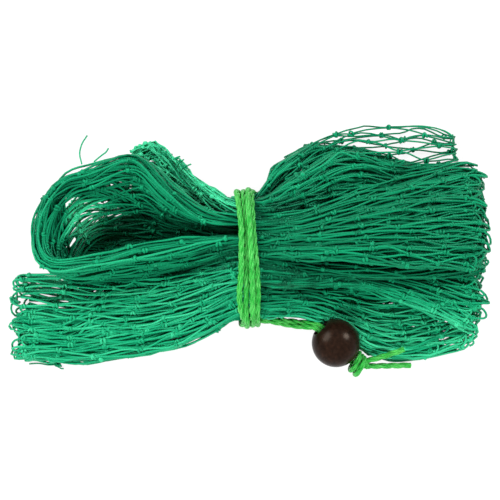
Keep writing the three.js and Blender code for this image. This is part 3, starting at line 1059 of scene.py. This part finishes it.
# %% Lead the twines from knot to knot
def twine_paths(surface, rng, sheet, grid):
    """The twines of a sheet. Each bar bows and sags a little, and keeps to its own side of the knots."""
    twines, bars = sheet["twines"], len(grid["number"]) - 1
    at = (np.arange(bars * sheet["steps"] + 1) / sheet["steps"])[None, :]
    bar = np.broadcast_to(np.minimum(at.astype(int), bars - 1), (twines, at.shape[1]))
    share = at - bar

    def between(values, sharp):
        near = np.take_along_axis(values, bar, 1)
        far = np.take_along_axis(values, bar + 1, 1)
        return near + (far - near) * ((1 - sharp) * share + sharp * share * share * (3 - 2 * share))

    def chance(spread):
        """A random size for each bar."""
        return np.take_along_axis(rng.normal(0, spread, (twines, bars)), bar, 1)

    s, w, d = between(grid["s"], 0), between(grid["w"], 0.15), between(grid["d"], 0.2)
    inside = (s > sheet["start"]) & (s < sheet["stop"])
    s = np.clip(s, 0, surface.lengths[-1])
    bow = np.sin(math.pi * share)
    slack, sag, curl = (chance(sheet["slack"] * part) for part in (1, 0.7, 0.45))
    beside = between(grid["side"], 0) * np.abs(2 * share - 1) ** 6 * 0.22
    w = w + (beside + (slack * bow + curl * np.sin(math.tau * share))) / surface.value(surface.widths, s)
    place = surface.place(s, np.clip(w, -0.12, 1.12), d + sag * bow)
    paths = []
    for twine in range(twines):
        keep = np.nonzero(inside[twine])[0]
        if len(keep) > 1:
            first = keep[0] if sheet["open_start"] else max(keep[0] - 1, 0)
            final = keep[-1] + (1 if sheet["open_stop"] else 2)
            paths.append(place[twine, first:final])
    return paths


# %% Loops and knots of a sheet
def end_loop(surface, rng, sheet, first, second, outward):
    """A loop past the sheet's edge, from one knot to the next. A knot is its s, its w and its depth."""
    far = sheet["loop"] * rng.uniform(0.75, 1.15)
    turn = np.linspace(0, math.pi, sheet["steps"] + 4)
    bulge = np.sin(turn)
    s = first[0] + (second[0] - first[0]) * turn / math.pi + outward * far * bulge**0.75
    w = (first[1] + second[1]) / 2 - (second[1] - first[1]) / 2 * np.cos(turn) * (1 + 0.15 * bulge)
    w = w + rng.normal(0, 0.7) * bulge / sheet["span"]
    d = first[2] + rng.normal(0, 1.0) * bulge
    return surface.place(np.clip(s, 0, surface.lengths[-1]), w, d)


def place_knots(surface, rng, s, w, d):
    """Where knots lie and how they are turned: along the piece, rolled and skewed a little by chance."""
    w = np.clip(w, -0.1, 1.1)
    knots = surface.place(np.clip(s, 0, surface.lengths[-1]), w, d)
    x, y, z = (surface.place(np.clip(s + 1, 0, surface.lengths[-1]), w, d) - knots).T
    roll = rng.uniform(0, math.tau, len(knots))
    pitch = rng.normal(0, 0.25, len(knots)) - np.arctan2(z, np.hypot(x, y))
    heading = rng.normal(0, 0.25, len(knots)) + np.arctan2(y, x)
    return knots, np.stack([roll, pitch, heading], 1)


# %% Knot one sheet of the net
def knot_sheet(surface, rng, sheet):
    """One sheet: its twines with the loops at its open ends, its knots, and how each knot is turned."""
    grid = knot_grid(surface, rng, sheet)
    paths = twine_paths(surface, rng, sheet, grid)
    knots = np.stack([grid["s"], grid["w"], grid["d"]], 2)
    for column, outward, name in ((0, -1, "open_start"), (-1, 1, "open_stop")):
        if sheet[name]:
            for twine in range(int(grid["number"][column]) % 2, sheet["twines"] - 2, 2):
                ends = knots[twine + 1:twine + 3, column]
                paths.append(end_loop(surface, rng, sheet, *ends, outward))
    chosen = grid["tied"] & (grid["s"] > sheet["start"]) & (grid["s"] < sheet["stop"])
    at, turns = place_knots(surface, rng, *knots[chosen].T)
    return paths, at, turns


# %% What the net can't go through
UNDER_CORD = 1.7
CLEAR_OF_BEAD = 0.5


def settle(points):
    """Keep twine inside the tie, out of the bead and on the table."""
    points = points.copy()
    y = (points[:, 1] - TIE_MIDDLE_Y) / (TURN_HALF_WIDTH - UNDER_CORD)
    z = (points[:, 2] - TIE_Z) / (TURN_HALF_HEIGHT - UNDER_CORD)
    over = (np.abs(y) ** TURN_SQUARENESS + np.abs(z) ** TURN_SQUARENESS) ** (1 / TURN_SQUARENESS)
    held = 1 - step(np.abs(points[:, 0] + 1.2), 5.3, 9.3)
    pull = 1 + (1 / np.maximum(over, 1) - 1) * held
    points[:, 1] = TIE_MIDDLE_Y + (points[:, 1] - TIE_MIDDLE_Y) * pull
    points[:, 2] = TIE_Z + (points[:, 2] - TIE_Z) * pull
    off = points - BEAD_AT
    far = np.linalg.norm(off, axis=1, keepdims=True)
    points = BEAD_AT + off * np.maximum(1, (BEAD_D / 2 + CLEAR_OF_BEAD) / far)
    points[:, 2] = np.maximum(points[:, 2], TWINE_D / 2)
    return points


# %% Plan the sheets of a piece
SHEET = {"twines": 20, "steps": 3, "pleats": 5, "bunch": 0.30, "lift": 0.35, "ragged": 1.1, "uneven": 0.32,
         "slack": 0.42, "drift": 0.45, "step_error": 0.6, "wander": 2.8, "lump": 1.12, "nested": 0.15,
         "loop": 5.5, "open_start": False, "open_stop": False, "span": 28.0, "low": lambda s: -0.03 + 0 * s,
         "high": lambda s: 1.03 + 0 * s, "crowd": lambda s: 1 + 0 * s}
INNER_PACKING = 0.82
PAST_FOLD_START = 4


def sheets_of(surface, through, short, rng, seen=(1,), twines=14, **looks):
    """A piece's sheets, from one side to the other. Some go through its fold, and some end at the fold in
    loops, on both sides. Those near a seen side have their own number of twines and are drawn finer."""
    count = through + short
    kinds = rng.permutation([True] * through + [False] * short)
    half = surface.thickness / 2 - TWINE_D / 2 + 0.15
    total = surface.lengths[-1]
    plan = []
    pleat_at = rng.uniform(0, 1)
    ends = surface.bend or (0.0, total)
    for layer in range(count):
        # -1 at one side of the pass and 1 at the other
        share = layer / (count - 1) * 2 - 1 if count > 1 else seen[0]
        side = 1 if share * seen[0] > 0 else -1
        fine = share * seen[0] > 0.6 or (len(seen) == 2 and abs(share) > 0.6)
        packed = share * (looks.get("outer", 1.0) if abs(share) > 0.99 else INNER_PACKING)

        def depth(s, packed=packed):
            return packed * surface.value(half, s)

        sheet = dict(SHEET, depth=depth, start=0.0, stop=total, layer=layer, fine=fine,
                     top=side * seen[0], lattice=ends[0] - looks.get("edge", 1.5) + rng.normal(0, 0.8),
                     pleat_at=pleat_at)
        if fine:
            sheet.update(steps=5, twines=twines)
        sheet.update(looks)
        if kinds[layer] or surface.bend is None:
            plan.append(sheet)
        else:
            bars_short = int(rng.uniform() < looks.get("one_short", 0.25) and not fine)
            early = bars_short * BAR - PAST_FOLD_START
            plan.append(dict(sheet, stop=surface.bend[0] - early, open_stop=True))
            back = ends[1] + looks.get("edge", 1.5) + rng.normal(0, 0.8)
            plan.append(dict(sheet, start=surface.bend[1] + early, open_start=True, lattice=back))
    return plan


# %% Gather a piece's lines and knots
def chain(start, count):
    """Edges that join a run of points one after the other."""
    return np.stack([np.arange(count - 1), np.arange(1, count)], 1) + start


def gather(seed, surface, plan):
    """All sheets of one piece, as points with their values, and the edges between them."""
    rng = np.random.default_rng(seed)
    points, edges, values = [], [], []
    count = 0
    for sheet in plan:
        paths, at, turns = knot_sheet(surface, rng, sheet)
        tone = rng.normal(0.5, 0.04)
        fine = float(sheet["fine"])
        for path in paths:
            points.append(settle(path))
            edges.append(chain(count, len(path)))
            count += len(path)
            values.append(np.tile([tone + rng.normal(0, 0.09), 0, fine, 0, 0, 0], (len(path), 1)))
        at = settle(at)
        at[:, 2] = np.maximum(at[:, 2], KNOT_RADIUS * sheet["lump"] + 0.45)
        points.append(at)
        count += len(at)
        tones = rng.normal(0.55, 0.08, len(at))
        sizes = rng.uniform(0.9, 1.15, len(at)) * sheet["lump"]
        values.append(np.column_stack([tones, sizes, np.full(len(at), fine), turns]))
    return {"points": np.vstack(points), "edges": np.vstack(edges), "values": np.vstack(values)}


# %% [markdown]
# ## Shade between the twines
# Little light reaches the twine deep in a packed net, so its hollows look nearly black and its ridges bright.
# The lamps alone leave those hollows too pale, because some light still gets between the twines. So each
# point is told how much twine lies above it and in front of it, and the deeper it is buried, the darker its
# tone.

# %% Shade deep in the bundle
CELL = 1.5
BURIED_DARKER = 0.87


def cells_of(piece, low):
    """The small box that each point of a piece lies in."""
    return tuple(((piece["points"] - low) / CELL).astype(int).T)


def crowding(pieces):
    """How much twine lies on top of each point and in front of it, counted in small boxes and blurred."""
    everything = np.vstack([piece["points"] for piece in pieces])
    low = everything.min(0) - 6 * CELL
    shape = tuple(((everything.max(0) + 6 * CELL - low) / CELL).astype(int) + 1)
    boxes = np.zeros(shape)
    for piece in pieces:
        start, stop = piece["edges"].T
        size = np.zeros(len(piece["points"]))
        lengths = np.linalg.norm(piece["points"][start] - piece["points"][stop], axis=1)
        np.add.at(size, start, lengths / 2)
        np.add.at(size, stop, lengths / 2)
        np.add.at(boxes, cells_of(piece, low), size)
    for axis in range(3):
        for _ in range(3):
            boxes = (np.roll(boxes, 1, axis) + 2 * boxes + np.roll(boxes, -1, axis)) / 4
    above = sum(np.roll(boxes, -cells, 2) for cells in (1, 2, 3))
    before = sum(np.roll(boxes, cells, 1) for cells in (1, 2, 3))
    buried = np.minimum(above, 1.3 * before) + 0.5 * boxes
    return [buried[cells_of(piece, low)] for piece in pieces]


# %% Draw a piece
def draw_piece(name, piece, shade):
    """Give a piece its twine. The more shade a point has, the darker its tone."""
    light = piece["light"](piece["points"]) if callable(piece["light"]) else piece["light"]
    tone, size, fine, *turn = piece["values"].T
    # Painted shade: buried twine gets a darker tone. Painted light and shade: the pass's light factor scales
    # it.
    tone = np.clip(tone * (1 - BURIED_DARKER * shade) * light, 0, 1)
    thing = lines_object(name, in_frame(piece["points"]), piece["edges"], tone=tone, knot=size, fine=fine,
                         knot_turn=np.stack(turn, 1))
    values = {"Twine radius": piece["twine"] / 2 * MM, "Knot radius": KNOT_RADIUS * MM,
              "Material": net_twine}
    run_tree(thing, net_tree, **values)
    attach(thing, "root")
    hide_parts("net_bag")
    return thing


# %% [markdown]
# ## Making each pass of net
# Each pass gets sheets of its own: one for the open meshes, and up to nine in the thick flaps. The gathered
# edge at the upper left ends in small loops. Towards their fold, the sheets of the upper right flap keep to
# its lower side, and the one sheet of open meshes beside them lets the table show through. The open loop is
# dense along its rim and thin low on its left side, and has a floor of net. Two flat runs of slack net lie
# under everything and close the bundle from below.

# %% Knot a piece
rng = np.random.default_rng(5)
net_pieces = {}


def knot(name, seed, through, short, change=None, light=1.0, twine=TWINE_D, **looks):
    """Knot all sheets of a pass. 'change' thins or opens each one. 'light' paints light and shade on the
    pass.
    """
    surface = passes[name]
    plan = sheets_of(surface, through, short, rng, **looks)
    if change:
        plan = [dict(sheet, **change(sheet, surface)) for sheet in plan]
    net_pieces[name] = dict(gather(seed, surface, plan), light=light, twine=twine)


# %% Where passes thin out
def thin_flap(sheet, surface):
    """Towards the fold, the sheets keep to the lower side and leave the rest to the open meshes."""
    middle = sum(surface.bend) / 2

    def near(s):
        return step(middle - np.abs(s - middle), middle - 58, middle - 14)

    return {"high": lambda s: 1.03 - 0.56 * near(s)}


def thin_loop(sheet, surface):
    """Round its left side, most sheets gather at the rim and a few hang to the table."""
    middle = sum(surface.bend) / 2 - 10

    def near(s):
        return step(17 - np.abs(s - middle), 0, 10)

    def top(s):
        return 0.97 - 0.025 * np.sin(s / 8 + sheet["layer"] * 2.4) - 0.025 * (sheet["layer"] * 3 % 4)

    def crowd(s):
        return 1 - 0.15 * near(s)

    if sheet["layer"] in (0, 3, 7):
        return {"high": top, "crowd": crowd}
    return {"low": lambda s: -0.03 + (0.85 + 0.025 * (sheet["layer"] % 3)) * near(s), "high": top}


def thin_corner(sheet, surface):
    """At the fold's far corner only two sheets are left, so that the table shows through."""
    middle = sum(surface.bend) / 2

    def near(s):
        return step(40 - np.abs(s - middle), 0, 15)

    return {} if sheet["layer"] in (1, 7) else {"low": lambda s: -0.03 + 0.46 * near(s)}


# %% Open edges, and where light gets in
def darker_below(points):
    """Little light reaches the foot of the back wall. The front wall is lit from outside, and so is the
    thin net at the back of the bend, where the table shows through."""
    x, y, z = points.T
    bend = step(x, -73, -69) * (1 - step(x, -60, -52)) * step(y, -3, 3) * (1 - step(z, 17, 23))
    return (0.64 + 0.16 * step(z, 5, 25) + 0.06 * step(-y, 4, 10)) * (1 + 1.4 * bend)


def brighter_in_front(points):
    """The foot of the lower right flap lies open to the light."""
    return 0.98 + 0.50 * step(-points[:, 1], 22, 34)


def edge_at_start(sheet, surface):
    """The sheets end in loops where the pass starts, each a little further on."""
    return {"open_start": True, "start": 1.0, "lattice": 4 + 1.2 * sheet["layer"] % 5}


def edge_at_stop(sheet, surface):
    """The sheets end in loops where the pass stops, each with its knots further on."""
    return {"open_stop": True, "lattice": 1 + 5 * sheet["layer"]}


# %% Knot the pieces
# Each light below paints light and shade on a whole pass. The gathered edge and the lower left flap are
# painted lighter. The upper right flap, the open meshes, the loop's floor and the fan are painted darker. The
# open loop and the lower right flap are painted by place.
knot("gathered_edge", 11, 7, 0, edge_at_start, light=2.1, twine=0.68, twines=8, loop=4.5, ragged=3, slack=1.2,
     drift=1.3, uneven=0.8)
knot("upper_right_flap", 12, 2, 6, thin_flap, light=0.78, seen=(-1,), twines=20, edge=2.5)
knot("open_meshes", 21, 1, 0, light=0.62, twine=0.66, seen=(-1,), twines=8, edge=0, ragged=1.8, slack=0.4,
     bunch=0.05, span=17, lump=1.3)
knot("open_loop", 13, 8, 0, thin_loop, darker_below, seen=(1, -1), twines=19, pleats=3, lift=0.5, bunch=0.3,
     steps=6, outer=0.86)
knot("loop_floor", 22, 5, 0, light=0.75, seen=(-1,), twines=18, nested=0.5)
knot("main_fan", 14, 2, 6, light=0.60, seen=(-1,), twines=26, edge=0, loop=4.2, bunch=0.35, lift=0.4)
knot("lower_left_flap", 15, 0, 8, thin_corner, light=1.14, seen=(1,), twines=22, edge=-1.4, one_short=0.3,
     loop=3.7, ragged=0.55)
knot("lower_right_flap", 16, 2, 7, light=brighter_in_front, seen=(-1, 1), twines=21, edge=-0.5, loop=4.2)
knot("last_end", 17, 6, 0, seen=(1,), twines=8)
knot("slack_right", 18, 4, 0, edge_at_stop, seen=(1,), twines=26, nested=0.5)
knot("slack_left", 19, 5, 0, edge_at_stop, seen=(-1,), twines=26, nested=0.5)
for name, piece in net_pieces.items():
    print(f"{name}: {len(piece['points'])} points of twine")

# %% [markdown]
# ## Loose ends of twine
# A used net is never tidy. Two long ends stand up from the rim of the loop, a few strands run along the edge
# of the open meshes, a knot with cut ends lies at the front of the lower left flap, and the gathered edge
# frays. The long ones are given point by point. The short ones start along a line and lean away from it
# at random.

# %% Loose ends
LONG_ENDS = [
    [(-61.6, 25.4, 28.4), (-62.6, 29.5, 27.5), (-62.0, 33.4, 26.5), (-60.4, 37.2, 24.5)],
    [(-57, 26.0, 29.6), (-54.4, 28.4, 29.2), (-52.8, 29.8, 28.8), (-52.0, 31.4, 28.2)],
    [(57, 46.6, 1.6), (64, 47.4, 1.4), (69.0, 47.2, 1.2), (74.4, 45.9, 1.4), (78.8, 42.9, 1.8),
     (79.4, 40.2, 2.2), (78.6, 37.4, 2.6), (79.8, 34.2, 3)],
    [(72.4, 46.4, 2.0), (76.8, 44.6, 2.4), (78.9, 42.4, 2.6), (78.4, 38.8, 2.8), (79.6, 36.4, 3),
     (78.8, 33.0, 3)],
    [(78.8, 42.9, 2.2), (77.8, 40.6, 2.6), (79.4, 37.6, 3), (78.6, 35.2, 3.2), (79.8, 33.8, 3.2)],
    [(-72.4, -45.6, 1.4), (-76, -45.8, 0.8), (-80, -45.2, 0.6), (-83.5, -45.4, 0.6)],
    [(-72.4, -45.6, 1.4), (-71.6, -47.0, 1.0), (-70.4, -47.2, 0.7)],
]
CUT_KNOTS = [(-72.4, -45.4, 1.5), (-71.9, -45.9, 1.7), (-72.9, -45.6, 1.3), (78.8, 42.8, 2),
             (78.8, 37.4, 2.8), (79.6, 34.2, 3)]


def fray(rng, start, stop, count, reach):
    """Short ends along a line, each with its own lean and curl."""
    start, stop = np.array(start, float), np.array(stop, float)
    ends = []
    for at in rng.uniform(0, 1, count):
        root = start + (stop - start) * at + rng.normal(0, 0.8, 3)
        lean = np.array([rng.normal(0, 0.8), rng.uniform(0.3, 1.0), rng.uniform(-0.1, 0.8)])
        bend = rng.normal(0, 0.8, 3)
        share = np.linspace(0, 1, 7)[:, None]
        ends.append(root + reach * rng.uniform(0.5, 1.1) * (lean * share + bend * share * share * 0.5))
    return ends


def loose_twine():
    """The long ends, the frays and the cut knots, put together as one piece."""
    rng = np.random.default_rng(31)
    paths = [smooth_curve(path, 5) for path in LONG_ENDS]
    paths += fray(rng, (-34, 33.0, 11.5), (-23.5, 25.8, 17), 26, 1.9)
    paths += fray(rng, (-44.5, 31.5, 7), (-35, 36.4, 10), 12, 1.6)
    edges, count = [], 0
    for path in paths:
        edges.append(chain(count, len(path)))
        count += len(path)
    knots = len(CUT_KNOTS)
    on_knots = [np.full(knots, 0.5), np.full(knots, 1.1), np.ones(knots), rng.uniform(0, 3, (knots, 3))]
    values = [np.tile([0.55, 0, 1, 0, 0, 0], (count, 1)), np.column_stack(on_knots)]
    return {"points": np.vstack(paths + [np.array(CUT_KNOTS)]), "edges": np.vstack(edges),
            "values": np.vstack(values), "light": 1.0, "twine": 0.6}


net_pieces["loose_ends"] = loose_twine()
print("loose ends:", len(net_pieces["loose_ends"]["points"]), "points of twine")

# %% Draw them in twine
near = crowding(list(net_pieces.values()))
least, most = np.percentile(np.concatenate(near), (8, 75))
print("twine over a point runs from", round(least, 2), "to", round(most, 2))
for (name, piece), crowd in zip(net_pieces.items(), near):
    draw_piece(name, piece, np.clip((crowd - least) / (most - least), 0, 1))

# %% [markdown]
# ## What the net is
# Each pass of net is a sheet held folded.


# %% [markdown]
# ## Floor and light
# The bundle lies on a plain pale table. What the camera sees of the table is white, and the shadow
# under the bundle stays. Two large soft lamps stand at the left and right, a little behind. A third, in
# front, fills the near side without a highlight of its own, and the whole room gives a soft fill.

# %% Floor
BOUNCE_GREY = (0.85, 0.85, 0.85, 1)
SHADOW_GREY = (0.14, 0.14, 0.14, 1)
FLOOR_GLOW = 0.88


def seen_by_eye(tree):
    """1 for rays that reach the eye, straight or by way of a mirror or glass, and 0 for bounced light."""
    rays = node(tree, "ShaderNodeLightPath").outputs
    return math_node(tree, "MAXIMUM", rays["Is Camera Ray"],
                     math_node(tree, "MAXIMUM", rays["Is Glossy Ray"], rays["Is Transmission Ray"]))


def make_floor():
    """Light bounces off a plain grey. The eye sees a white glow, with a little grey to take the shadow."""
    made, tree, shader = new_material("pale floor")
    tree.nodes.remove(shader)
    plain = output(tree, "ShaderNodeBsdfDiffuse", {"Color": BOUNCE_GREY})
    shown = output(tree, "ShaderNodeBsdfDiffuse", {"Color": SHADOW_GREY})
    glow = output(tree, "ShaderNodeEmission", {"Strength": FLOOR_GLOW})
    both = output(tree, "ShaderNodeAddShader", {0: shown, 1: glow})
    chosen = output(tree, "ShaderNodeMixShader", {0: seen_by_eye(tree), 1: plain, 2: both})
    plug(tree, chosen, tree.nodes["Material Output"].inputs["Surface"])
    return made


floor_mesh = bpy.data.meshes.new("floor")
floor_mesh.from_pydata([(-3, -3, 0), (3, -3, 0), (3, 3, 0), (-3, 3, 0)], [], [(0, 1, 2, 3)])
floor = new_object("floor", floor_mesh)
floor_mesh.materials.append(make_floor())
print("the floor is", round(2 * floor_mesh.vertices[1].co.x), "m wide")

# %% Light
def soft_lamp(name, place, size, power, shows=True):
    """A wide lamp that faces the bundle. It may be left out of highlights."""
    data = bpy.data.lights.new(name, "AREA")
    data.shape = "ELLIPSE"
    data.size, data.size_y = size
    data.energy = power
    lamp = new_object(name, data)
    lamp.location = place
    lamp.visible_glossy = shows
    lamp.rotation_euler = (Vector((0, 0, 0.01)) - Vector(place)).to_track_quat("-Z", "Y").to_euler()
    print(name, power, "W")


soft_lamp("left lamp", (-0.74, 0.40, 0.60), (0.8, 0.7), 15)
soft_lamp("right lamp", (0.74, 0.40, 0.60), (0.42, 0.42), 10.5)
soft_lamp("front lamp", (-0.10, -0.85, 0.70), (0.6, 0.4), 16, shows=False)

# %% Room
ROOM_FILL = 0.08
ROOM_SEEN = 0.92
world = bpy.data.worlds.new("room")
bpy.context.scene.world = world
world.use_nodes = True
room = world.node_tree
strength = math_node(room, "MULTIPLY_ADD", seen_by_eye(room), ROOM_SEEN, ROOM_FILL)
background = room.nodes["Background"]
background.inputs["Color"].default_value = (1, 1, 1, 1)
plug(room, strength, background.inputs["Strength"])
print("the room's fill is", ROOM_FILL)

# %% Finish
bpy.context.scene.view_settings.view_transform = "Standard"
